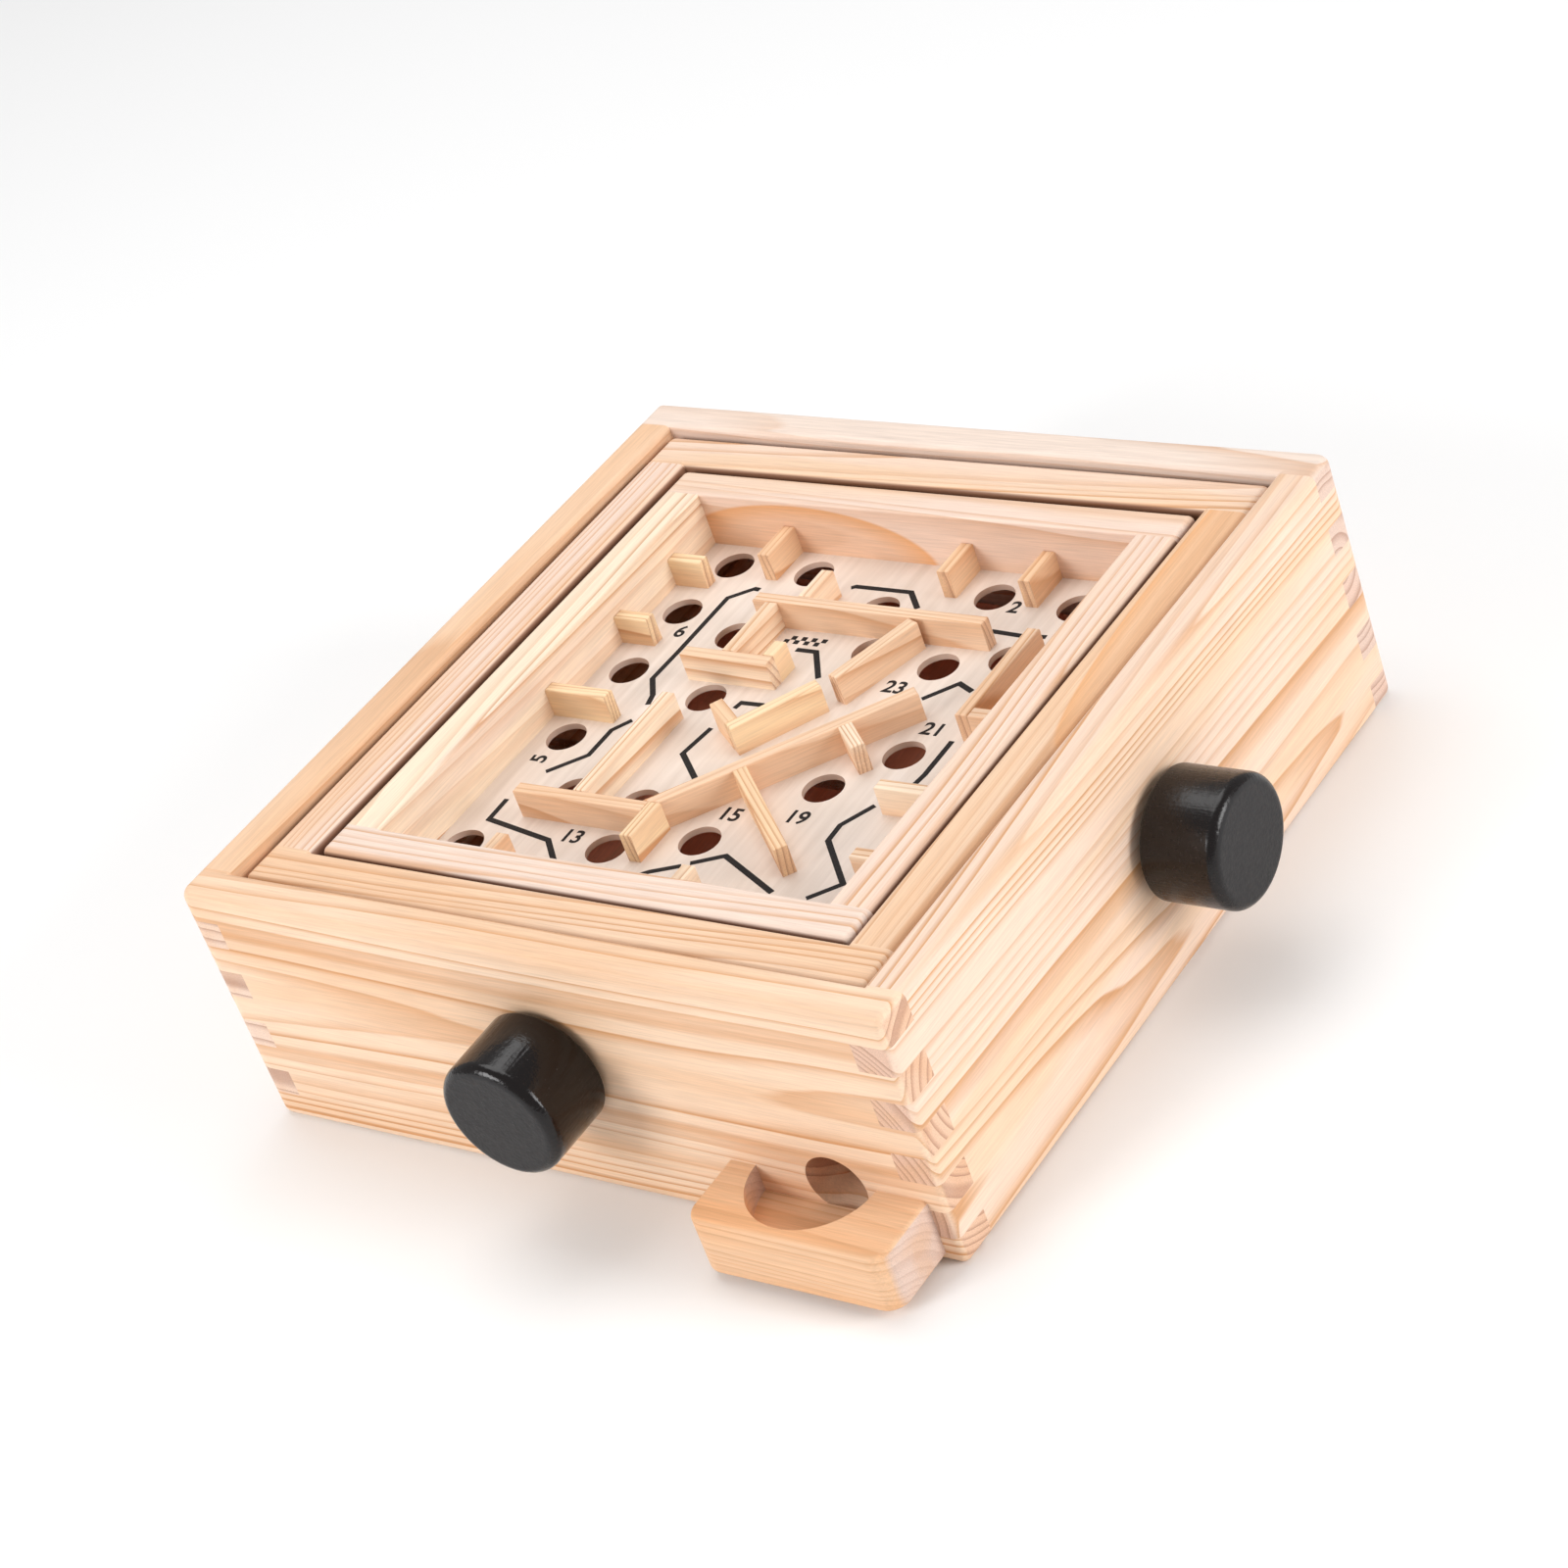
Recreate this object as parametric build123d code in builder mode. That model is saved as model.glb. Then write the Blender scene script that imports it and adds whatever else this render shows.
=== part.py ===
from build123d import *
import math
import os

# Tilt maze game. Millimetres, +Z up, +X to the right, +Y away from the player.
# The origin is on the underside of the front board, at the middle of its length and thickness.

# Outer box
box_width = 200.0
box_depth = 205.0
box_height = 68.0
board_t = 10.0
box_round = 2.0
box_soft_corner = 4.2
rim_round = 1.5
finger_count = 9

# Tilting frames, one inside the other
swing_gap = 1.2
ring_rail_w = 12.0
ring_top = 66.0
ring_bottom = 50.0
ring_round = 2.0
ring_inner_round = 1.5
tray_side_w = 11.0
tray_end_w = 10.0
tray_top = 65.5
tray_floor_top = 50.5
tray_floor_t = 1.6
tray_round = 2.0
tray_inner_round = 0.6
pivot_z = 58.0

# Maze
hole_r = 5.2
stick_t = 3.4
stick_h = 7.8
stick_round = 0.5

# Pivot pins and axles
pin_r = 1.5
pin_in_frame = 7.0
pin_in_socket = 4.6
socket_depth = 5.0
run_clearance = 0.05
axle_r = 1.5
front_axle_x = 1.0
front_axle_z = 37.5
side_axle_offset = 3.1
side_axle_z = 34.3
axle_socket_depth = 6.0
axle_end_play = 0.5
collar_r = 3.5
collar_t = 3.0
collar_gap = 0.3

# Knobs
knob_r = 15.5
knob_length = 19.5
knob_rim = 2.6
knob_back_edge = 0.8
knob_bore_depth = 14.0
front_knob_gap = 1.6
side_knob_gap = 2.4

# Ball exit and cup
exit_x = 71.4
exit_z = 16.7
exit_r = 7.9
cup_left = 42.5
cup_right = 95.0
cup_depth = 19.0
cup_bottom = 2.0
cup_top = 17.6
cup_corner = 5.0
cup_edge = 1.2
pocket_x = 66.0
pocket_r = 16.0
pocket_floor = 10.3

# Sloping floor under the tray
ramp_t = 2.5
ramp_exit_z = 10.2
ramp_rise_back = 0.045
ramp_rise_left = 0.030
ramp_side_gap = 0.4
batten_w = 10.4
batten_h = 6.0
nail_r = 0.6
nail_head_r = 1.4
nail_head_t = 0.5
nail_length = 7.0
nail_spacing = 55.0

# Strings and their screw eyes
string_r = 0.4
knot_r = 0.9
eye_r = 2.0
eye_wire_r = 0.5
eye_shank = 5.0
winding_turns = 3
winding_gap = 0.1
ring_string_x = -83.0
ring_string_reach = 84.0
tray_string_offset = -5.5
tray_string_reach = 73.5

# Places worked out from the sizes above
front_y = -board_t / 2
back_y = front_y + box_depth
centre_y = front_y + box_depth / 2
inner_x = box_width / 2 - board_t
inner_front = front_y + board_t
inner_back = back_y - board_t
ring_width = 2 * (inner_x - swing_gap)
ring_depth = box_depth - 2 * (board_t + swing_gap)
tray_width = ring_width - 2 * (ring_rail_w + swing_gap)
tray_depth = ring_depth - 2 * (ring_rail_w + swing_gap)
tray_floor_bottom = tray_floor_top - tray_floor_t
finger_h = box_height / finger_count
winding_r = axle_r + 2 * string_r
side_axle_y = centre_y + side_axle_offset
tray_string_y = centre_y + tray_string_offset
ring_run_z = side_axle_z - winding_r - string_r - winding_gap
tray_run_z = front_axle_z - winding_r - string_r - winding_gap
string_bend = eye_wire_r + string_r + run_clearance
ring_eye_z = ring_bottom - eye_r - eye_wire_r
tray_eye_z = tray_floor_bottom - eye_r - eye_wire_r

os.makedirs("parts", exist_ok=True)


def save(piece, label):
    """Label one finished piece and write its STEP file."""
    piece.label = label
    export_step(piece, f"parts/{label}.step")


def at_height(edges, height):
    """Edges that lie wholly in the level plane at a height."""
    return [e for e in edges if abs(e.bounding_box().min.Z - height) < 1e-4
            and abs(e.bounding_box().max.Z - height) < 1e-4]


def rounded_frame(width, depth, bottom, top, side_w, end_w, outside, inside, soft_corner=None):
    """A four-sided frame with rounded corners and rims, before it is cut into its members.

    With a soft corner, the front left and back right corners have that radius, and the
    underside is rounded as well as the top.
    """
    middle = Plane.XY.offset(bottom) * Pos(0, centre_y)
    with BuildPart() as blank:
        with BuildSketch(middle):
            Rectangle(width, depth)
        extrude(amount=top - bottom)
        fillet([e for e in blank.edges().filter_by(Axis.Z)
                if e.center().X * (e.center().Y - centre_y) > 0], soft_corner or outside)
        fillet([e for e in blank.edges().filter_by(Axis.Z)
                if e.center().X * (e.center().Y - centre_y) < 0], outside)
        fillet(at_height(blank.edges(), top), outside * 0.999)
        if soft_corner:
            fillet(at_height(blank.edges(), bottom), outside * 0.999)
        with BuildSketch(middle):
            Rectangle(width - 2 * side_w, depth - 2 * end_w)
        extrude(amount=top - bottom, mode=Mode.SUBTRACT)
        inner = [e for e in at_height(blank.edges(), top)
                 if abs(e.center().X) < width / 2 - side_w + 1e-3
                 and abs(e.center().Y - centre_y) < depth / 2 - end_w + 1e-3]
        fillet(inner, inside)
    return blank.part


def frame_member(blank, x_range, y_range, z_range):
    """The part of a frame blank inside a box, as one wooden member."""
    size = [high - low for low, high in (x_range, y_range, z_range)]
    middle = [(high + low) / 2 for low, high in (x_range, y_range, z_range)]
    return blank & Pos(*middle) * Box(*size)


def four_members(blank, width, depth, bottom, top, end_w):
    """Front and back members of full width, and side members between them."""
    front = centre_y - depth / 2
    back = centre_y + depth / 2
    full_x = (-width / 2, width / 2)
    high = (bottom, top)
    return {
        "front": frame_member(blank, full_x, (front, front + end_w), high),
        "back": frame_member(blank, full_x, (back - end_w, back), high),
        "left": frame_member(blank, (-width / 2, 0), (front + end_w, back - end_w), high),
        "right": frame_member(blank, (0, width / 2), (front + end_w, back - end_w), high),
    }


# ---------------------------------------------------------------- screw eyes
def screw_eye(centre, ring_axis, shank_dir, shank):
    """A wire ring about a centre, and a straight shank that runs from it into the wood."""
    root = Vector(*centre) + Vector(*shank_dir) * eye_r
    upright = (Align.CENTER, Align.CENTER, Align.MIN)
    ring = Plane(origin=centre, z_dir=ring_axis) * Torus(eye_r, eye_wire_r)
    return ring + Plane(origin=root, z_dir=shank_dir) * Cylinder(eye_wire_r, shank, align=upright)


# Each string turns round the inner side of its guide's wire, straight below its hook.
guide_offset = eye_r - string_bend
ring_guide_y = ring_string_reach + guide_offset
tray_guide_x = tray_string_reach + guide_offset
ring_guide_shank = eye_shank + inner_x + ring_string_x - eye_r
tray_guide_shank = eye_shank + inner_x - tray_guide_x - eye_r
ring_guide_z = ring_run_z + string_bend
tray_guide_z = tray_run_z + string_bend
hook_shank = eye_shank + eye_wire_r

string_guides = Compound(
    [screw_eye((ring_string_x, centre_y + side * ring_guide_y, ring_guide_z),
               (0, 0, 1), (-1, 0, 0), ring_guide_shank) for side in (-1, 1)]
    + [screw_eye((side * tray_guide_x, tray_string_y, tray_guide_z),
                 (0, 0, 1), (side, 0, 0), tray_guide_shank) for side in (-1, 1)])
save(string_guides, "string_guides")

ring_string_hooks = Compound(
    [screw_eye((ring_string_x, centre_y + side * ring_string_reach, ring_eye_z),
               (1, 0, 0), (0, 0, 1), hook_shank) for side in (-1, 1)])
save(ring_string_hooks, "ring_string_hooks")

tray_string_hooks = Compound(
    [screw_eye((side * tray_string_reach, tray_string_y, tray_eye_z),
               (0, 1, 0), (0, 0, 1), hook_shank) for side in (-1, 1)])
save(tray_string_hooks, "tray_string_hooks")

# ---------------------------------------------------------------- box boards
box_blank = rounded_frame(box_width, box_depth, 0, box_height, board_t, board_t,
                          box_round, rim_round, box_soft_corner)
box_members = four_members(box_blank, box_width, box_depth, 0, box_height, board_t)


def corner_fingers(side):
    """The layers at one side's two corners that belong to the side board."""
    fingers = []
    for layer in range(1, finger_count, 2):
        for y_range in ((front_y, inner_front), (inner_back, back_y)):
            x_range = (-box_width / 2, -inner_x) if side < 0 else (inner_x, box_width / 2)
            z_range = (layer * finger_h, (layer + 1) * finger_h)
            fingers.append(frame_member(box_blank, x_range, y_range, z_range))
    return fingers


left_fingers = corner_fingers(-1)
right_fingers = corner_fingers(1)

with BuildPart() as box_front_board:
    add(box_members["front"])
    add(left_fingers + right_fingers, mode=Mode.SUBTRACT)
    with BuildSketch(Plane.XZ.offset(-inner_front)):
        with Locations((exit_x, exit_z)):
            Circle(exit_r)
        with Locations((front_axle_x, front_axle_z)):
            Circle(axle_r + run_clearance)
    extrude(amount=board_t, mode=Mode.SUBTRACT)
save(box_front_board.part, "box_front_board")

with BuildPart() as box_back_board:
    add(box_members["back"])
    add(left_fingers + right_fingers, mode=Mode.SUBTRACT)
    with BuildSketch(Plane.XZ.offset(-inner_back)):
        with Locations((front_axle_x, front_axle_z)):
            Circle(axle_r + run_clearance)
    extrude(amount=-axle_socket_depth, mode=Mode.SUBTRACT)
save(box_back_board.part, "box_back_board")

with BuildPart() as box_left_board:
    add(box_members["left"])
    add(left_fingers)
    with BuildSketch(Plane.YZ.offset(-inner_x)):
        with Locations((side_axle_y, side_axle_z)):
            Circle(axle_r + run_clearance)
    extrude(amount=-axle_socket_depth, mode=Mode.SUBTRACT)
    with BuildSketch(Plane.YZ.offset(-inner_x)):
        with Locations((centre_y, pivot_z)):
            Circle(pin_r + run_clearance)
    extrude(amount=-socket_depth, mode=Mode.SUBTRACT)
    add(string_guides, mode=Mode.SUBTRACT)
save(box_left_board.part, "box_left_board")

with BuildPart() as box_right_board:
    add(box_members["right"])
    add(right_fingers)
    with BuildSketch(Plane.YZ.offset(inner_x)):
        with Locations((side_axle_y, side_axle_z)):
            Circle(axle_r + run_clearance)
    extrude(amount=board_t, mode=Mode.SUBTRACT)
    with BuildSketch(Plane.YZ.offset(inner_x)):
        with Locations((centre_y, pivot_z)):
            Circle(pin_r + run_clearance)
    extrude(amount=socket_depth, mode=Mode.SUBTRACT)
    add(string_guides, mode=Mode.SUBTRACT)
save(box_right_board.part, "box_right_board")

# ---------------------------------------------------------------- ball cup
with BuildPart() as ball_cup:
    with BuildSketch(Plane.XY.offset(cup_bottom)):
        with Locations(((cup_left + cup_right) / 2, front_y - cup_depth / 2)):
            Rectangle(cup_right - cup_left, cup_depth)
    extrude(amount=cup_top - cup_bottom)
    fillet(ball_cup.edges().filter_by(Axis.Z).group_by(Axis.Y)[0], cup_corner)
    outline = at_height(ball_cup.edges(), cup_top) + at_height(ball_cup.edges(), cup_bottom)
    fillet([e for e in outline if e.center().Y < front_y - cup_edge / 2], cup_edge)
    with BuildSketch(Plane.XY.offset(pocket_floor)):
        with Locations((pocket_x, front_y)):
            Circle(pocket_r)
    extrude(amount=cup_top - pocket_floor, mode=Mode.SUBTRACT)
save(ball_cup.part, "ball_cup")

# ---------------------------------------------------------------- sloping floor
# The ramp falls to the front and to the right, so that the ball rolls to the exit hole.
ramp_normal = Vector(ramp_rise_left, -ramp_rise_back, 1)
ramp_centre_z = (ramp_exit_z + ramp_rise_back * (centre_y - inner_front)
                 + ramp_rise_left * exit_x)
ramp_top = Plane(origin=(0, centre_y, ramp_centre_z), x_dir=(1, 0, -ramp_rise_left),
                 z_dir=ramp_normal)
ramp_width = 2 * (inner_x - ramp_side_gap)
ramp_depth = inner_back - inner_front - 2 * ramp_side_gap
batten_x = inner_x - batten_w / 2

with BuildPart() as ramp_nails:
    with BuildSketch(ramp_top.offset(-ramp_t)):
        with GridLocations(2 * batten_x, nail_spacing, 2, 3):
            Circle(nail_head_r)
    extrude(amount=-nail_head_t)
    with BuildSketch(ramp_top.offset(-ramp_t)):
        with GridLocations(2 * batten_x, nail_spacing, 2, 3):
            Circle(nail_r)
    extrude(amount=nail_length)
save(ramp_nails.part, "ramp_nails")

with BuildPart() as ramp_panel:
    with BuildSketch(ramp_top):
        Rectangle(ramp_width, ramp_depth)
    extrude(amount=-ramp_t)
    add(ramp_nails.part, mode=Mode.SUBTRACT)
save(ramp_panel.part, "ramp_panel")

# Each batten is glued to its side board, and the panel is nailed to it from below.
for side, label in ((-1, "ramp_batten_left"), (1, "ramp_batten_right")):
    with BuildPart() as ramp_batten:
        with BuildSketch(Plane.XY):
            with Locations((side * batten_x, centre_y)):
                Rectangle(batten_w, inner_back - inner_front)
        extrude(amount=tray_floor_bottom)
        split(bisect_by=ramp_top, keep=Keep.TOP)
        split(bisect_by=ramp_top.offset(batten_h), keep=Keep.BOTTOM)
        add(ramp_nails.part, mode=Mode.SUBTRACT)
    save(ramp_batten.part, label)

# ---------------------------------------------------------------- tilting ring
ring_blank = rounded_frame(ring_width, ring_depth, ring_bottom, ring_top, ring_rail_w,
                           ring_rail_w, ring_round, ring_inner_round)
ring_members = four_members(ring_blank, ring_width, ring_depth, ring_bottom, ring_top,
                            ring_rail_w)
ring_inner_front = centre_y - ring_depth / 2 + ring_rail_w
ring_inner_back = centre_y + ring_depth / 2 - ring_rail_w

with BuildPart() as ring_front_rail:
    add(ring_members["front"])
    with BuildSketch(Plane.XZ.offset(-ring_inner_front)):
        with Locations((0, pivot_z)):
            Circle(pin_r + run_clearance)
    extrude(amount=socket_depth, mode=Mode.SUBTRACT)
    add(ring_string_hooks, mode=Mode.SUBTRACT)
save(ring_front_rail.part, "ring_front_rail")

with BuildPart() as ring_back_rail:
    add(ring_members["back"])
    with BuildSketch(Plane.XZ.offset(-ring_inner_back)):
        with Locations((0, pivot_z)):
            Circle(pin_r + run_clearance)
    extrude(amount=-socket_depth, mode=Mode.SUBTRACT)
    add(ring_string_hooks, mode=Mode.SUBTRACT)
save(ring_back_rail.part, "ring_back_rail")

for side, label in ((-1, "left"), (1, "right")):
    with BuildPart() as ring_side_rail:
        add(ring_members[label])
        with BuildSketch(Plane.YZ.offset(side * ring_width / 2)):
            with Locations((centre_y, pivot_z)):
                Circle(pin_r)
        extrude(amount=-side * pin_in_frame, mode=Mode.SUBTRACT)
    save(ring_side_rail.part, f"ring_{label}_rail")

with BuildPart() as ring_pivot_pins:
    for side in (-1, 1):
        with BuildSketch(Plane.YZ.offset(side * (ring_width / 2 - pin_in_frame))):
            with Locations((centre_y, pivot_z)):
                Circle(pin_r)
        extrude(amount=side * (pin_in_frame + swing_gap + pin_in_socket))
save(ring_pivot_pins.part, "ring_pivot_pins")

# ---------------------------------------------------------------- maze tray
tray_blank = rounded_frame(tray_width, tray_depth, tray_floor_top, tray_top, tray_side_w,
                           tray_end_w, tray_round, tray_inner_round)
tray_members = four_members(tray_blank, tray_width, tray_depth, tray_floor_top, tray_top,
                            tray_end_w)
for label in ("left", "right"):
    with BuildPart() as tray_side_wall:
        add(tray_members[label])
        add(tray_string_hooks, mode=Mode.SUBTRACT)
    save(tray_side_wall.part, f"tray_{label}_wall")

for side, label in ((-1, "front"), (1, "back")):
    with BuildPart() as tray_end_wall:
        add(tray_members[label])
        with BuildSketch(Plane.XZ.offset(-(centre_y + side * tray_depth / 2))):
            with Locations((0, pivot_z)):
                Circle(pin_r)
        extrude(amount=side * pin_in_frame, mode=Mode.SUBTRACT)
    save(tray_end_wall.part, f"tray_{label}_wall")

with BuildPart() as tray_pivot_pins:
    for side in (-1, 1):
        with BuildSketch(Plane.XZ.offset(-(centre_y + side * (tray_depth / 2 - pin_in_frame)))):
            with Locations((0, pivot_z)):
                Circle(pin_r)
        extrude(amount=-side * (pin_in_frame + swing_gap + pin_in_socket))
save(tray_pivot_pins.part, "tray_pivot_pins")

# Fall holes, measured from the middle of the tray.
fall_holes = [
    (-53.1, 60.0), (-28.3, 59.9), (-1.6, 49.0), (26.4, 58.2), (50.4, 57.3),
    (-55.8, 39.9), (-55.5, 15.4), (-55.8, -11.5), (-34.7, 33.0), (6.4, 33.0),
    (27.2, 30.3), (43.9, 36.0), (-27.3, 9.0), (37.5, -1.9), (24.3, -16.7),
    (-19.7, -30.7), (-39.8, -30.2), (4.5, -40.0), (-17.7, -47.3), (-56.8, -53.2),
    (26.0, -61.0), (57.3, -30.5), (57.3, -6.5),
]
with BuildPart() as tray_floor:
    with BuildSketch(Plane.XY.offset(tray_floor_bottom) * Pos(0, centre_y)):
        RectangleRounded(tray_width, tray_depth, tray_round)
        with Locations(*fall_holes):
            Circle(hole_r, mode=Mode.SUBTRACT)
    extrude(amount=tray_floor_t)
    add(tray_string_hooks, mode=Mode.SUBTRACT)
save(tray_floor.part, "tray_floor")

# Maze sticks: the two ends of each centre line, measured from the middle of the tray.
half_t = stick_t / 2
tray_left = -(tray_width / 2 - tray_side_w)
tray_right = -tray_left
tray_back = tray_depth / 2 - tray_end_w
tray_front = -tray_back
long_wall_front = 38.0
corner_wall_back = -37.6
long_wall_y = long_wall_front + half_t
start_wall_y = 16.5
corner_wall_y = corner_wall_back - half_t
maze_sticks = {
    "long_wall": [((-30.0, long_wall_y), (37.0, long_wall_y))],
    "start_wall_down": [((-24.2, start_wall_y + half_t), (-24.2, long_wall_front))],
    "start_wall_across": [((-36.5, start_wall_y), (-10.5, start_wall_y))],
    "start_wall_return": [((-12.2, start_wall_y + half_t), (-12.2, 24.0))],
    "long_wall_branch": [((-16.7, long_wall_front + stick_t), (-16.7, 52.5))],
    "middle_wall": [((-30.0, corner_wall_back), (-30.0, 0.7))],
    "corner_wall": [((-47.5, corner_wall_y), (-9.0, corner_wall_y))],
    "corner_wall_end": [((-7.3, -50.0), (-7.3, corner_wall_back))],
    "upper_slant_wall": [((18.2, 37.1), (10.1, 13.35))],
    "lower_slant_wall": [((-5.9, -8.7), (7.5, 10.8))],
    "slant_wall_return": [((-6.4, -6.4), (-15.0, -0.4))],
    "great_slant_wall": [((-9.9, -39.1), (34.5, 12.4))],
    "slant_branch_long": [((6.8, -22.4), (34.2, -46.1))],
    "slant_branch_short": [((23.9, -2.6), (31.7, -9.3))],
    "right_pocket_wall": [((51.1, 5.5), (51.1, 39.0))],
    "right_pocket_end": [((52.8, 7.2), (tray_right, 7.2))],
    "left_stub_walls": [((tray_left, 51.5), (-54.5, 51.5)), ((tray_left, 27.2), (-54.5, 27.2)),
                        ((tray_left, -2.8), (-46.2, -2.8))],
    "back_stub_walls": [((-38.7, 55.8), (-38.7, tray_back)), ((14.8, 56.3), (14.8, tray_back)),
                        ((38.3, 55.9), (38.3, tray_back))],
    "right_stub_walls": [((44.5, -20.8), (tray_right, -20.8)),
                         ((52.5, -43.8), (tray_right, -43.8))],
    "front_stub_walls": [((-39.8, tray_front), (-39.8, -55.3)), ((15.3, tray_front), (15.3, -56.0))],
}
for label, lines in maze_sticks.items():
    with BuildPart() as maze_stick:
        for start, end in lines:
            run = Vector(*end) - Vector(*start)
            middle = (Vector(*start) + Vector(*end)) * 0.5
            foot = Plane(origin=(middle.X, middle.Y + centre_y, tray_floor_top),
                         x_dir=(run.X, run.Y, 0), z_dir=(0, 0, 1))
            with BuildSketch(foot):
                Rectangle(run.length, stick_t)
            extrude(amount=stick_h)
        if label == "great_slant_wall":
            corner_wall_face = Plane.XZ.offset(-(corner_wall_back + centre_y))
            split(bisect_by=corner_wall_face, keep=Keep.BOTTOM)
        fillet(at_height(maze_stick.edges(), tray_floor_top + stick_h), stick_round)
    save(maze_stick.part, label)

# ---------------------------------------------------------------- knobs and axles
front_axle_base = Plane(origin=(front_axle_x, front_y - front_knob_gap, front_axle_z),
                        x_dir=(1, 0, 0), z_dir=(0, -1, 0))
side_axle_base = Plane(origin=(box_width / 2 + side_knob_gap, side_axle_y, side_axle_z),
                       x_dir=(0, 1, 0), z_dir=(1, 0, 0))


def knob(base):
    """A round knob that stands on its base plane, with a blind bore for the axle."""
    with BuildPart() as body:
        with BuildSketch(base):
            Circle(knob_r)
        extrude(amount=knob_length)
        rims = body.edges().filter_by(GeomType.CIRCLE).sort_by_distance(base.origin)
        fillet(rims[0], knob_back_edge)
        front_rim = body.edges().filter_by(GeomType.CIRCLE).sort_by_distance(base.origin)[-1]
        fillet(front_rim, knob_rim)
        with BuildSketch(base):
            Circle(axle_r)
        extrude(amount=knob_bore_depth, mode=Mode.SUBTRACT)
    return body.part


def sleeve(base, distance, length, outer_r):
    """A ring on the axle, its near face at a distance behind the base plane."""
    with BuildPart() as body:
        with BuildSketch(base.offset(-distance)):
            Circle(outer_r)
            Circle(axle_r, mode=Mode.SUBTRACT)
        extrude(amount=-length)
    return body.part


def axle(base, length):
    """A rod from the bottom of the knob's bore to its far socket."""
    with BuildPart() as body:
        with BuildSketch(base.offset(knob_bore_depth)):
            Circle(axle_r)
        extrude(amount=-length)
        fillet(body.edges().filter_by(GeomType.CIRCLE), 0.3)
    return body.part


far_end = axle_socket_depth - axle_end_play
front_axle_length = knob_bore_depth + front_knob_gap + box_depth - board_t + far_end
side_axle_length = knob_bore_depth + side_knob_gap + box_width - board_t + far_end
winding_length = 2 * string_r * winding_turns
front_winding_at = front_knob_gap + tray_string_y - front_y - winding_length / 2
side_winding_at = side_knob_gap + box_width / 2 - ring_string_x - winding_length / 2

save(knob(front_axle_base), "front_knob")
save(axle(front_axle_base, front_axle_length), "front_axle")
save(sleeve(front_axle_base, front_knob_gap + board_t + collar_gap, collar_t, collar_r),
     "front_axle_collar")
save(sleeve(front_axle_base, front_winding_at, winding_length, winding_r), "tray_string_winding")

save(knob(side_axle_base), "side_knob")
save(axle(side_axle_base, side_axle_length), "side_axle")
save(sleeve(side_axle_base, side_knob_gap + board_t + collar_gap, collar_t, collar_r),
     "side_axle_collar")
save(sleeve(side_axle_base, side_winding_at, winding_length, winding_r), "ring_string_winding")

# ---------------------------------------------------------------- strings
def string(hooks, run_z, eye_z, loop_axis):
    """A round string, looped and knotted round the lowest part of the eyes above its ends."""
    loop_z = eye_z - eye_r
    ends = [(*hook, loop_z - string_bend) for hook in hooks]
    turns = [(*hook, run_z) for hook in hooks]
    path = FilletPolyline(ends[0], turns[0], turns[1], ends[1], radius=string_bend)
    body = sweep(Plane(origin=ends[0], z_dir=(0, 0, -1)) * Circle(string_r), path=path)
    for hook, end in zip(hooks, ends):
        body += Pos(*end) * Pos(0, 0, -knot_r / 2) * Sphere(knot_r)
        loop = Plane(origin=(*hook, loop_z), z_dir=loop_axis)
        body += loop * Torus(string_bend, string_r)
    return body


ring_hooks = [(ring_string_x, centre_y + side * ring_string_reach) for side in (-1, 1)]
tray_hooks = [(side * tray_string_reach, tray_string_y) for side in (-1, 1)]
save(string(ring_hooks, ring_run_z, ring_eye_z, (0, 1, 0)), "ring_string")
save(string(tray_hooks, tray_run_z, tray_eye_z, (1, 0, 0)), "tray_string")
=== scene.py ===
import math

import bmesh
import bpy
from mathutils import Matrix, Vector


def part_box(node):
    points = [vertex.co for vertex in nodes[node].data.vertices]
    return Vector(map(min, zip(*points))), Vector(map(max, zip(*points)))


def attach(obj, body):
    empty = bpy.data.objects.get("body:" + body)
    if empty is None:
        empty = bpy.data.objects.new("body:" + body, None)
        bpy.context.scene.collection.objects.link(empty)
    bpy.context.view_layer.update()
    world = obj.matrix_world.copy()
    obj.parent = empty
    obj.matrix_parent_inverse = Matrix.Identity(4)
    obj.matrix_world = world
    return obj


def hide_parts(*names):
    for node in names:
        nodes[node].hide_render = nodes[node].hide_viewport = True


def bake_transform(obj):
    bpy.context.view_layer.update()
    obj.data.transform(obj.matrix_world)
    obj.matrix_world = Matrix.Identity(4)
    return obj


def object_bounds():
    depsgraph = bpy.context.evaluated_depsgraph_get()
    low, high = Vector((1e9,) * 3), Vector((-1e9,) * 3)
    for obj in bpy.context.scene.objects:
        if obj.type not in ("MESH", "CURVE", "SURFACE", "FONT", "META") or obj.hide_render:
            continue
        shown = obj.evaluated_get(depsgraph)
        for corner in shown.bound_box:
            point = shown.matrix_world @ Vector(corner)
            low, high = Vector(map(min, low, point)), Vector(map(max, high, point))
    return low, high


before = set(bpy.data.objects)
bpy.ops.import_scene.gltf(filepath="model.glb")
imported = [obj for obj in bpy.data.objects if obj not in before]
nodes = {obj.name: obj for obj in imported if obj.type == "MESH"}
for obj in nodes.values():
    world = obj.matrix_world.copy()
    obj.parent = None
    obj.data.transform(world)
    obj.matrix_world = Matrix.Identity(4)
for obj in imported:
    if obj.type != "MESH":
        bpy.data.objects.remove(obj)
cad_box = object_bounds()
mm = 0.001

# ---------------------------------------------------------------- camera, lights and world
look_at = Vector((-0.0027, 0.0964, 0.0357))
camera_azimuth = math.radians(-45.0)
camera_elevation = math.radians(33.1)
camera_distance = 0.9496
camera_roll = math.radians(-20.5)

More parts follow.
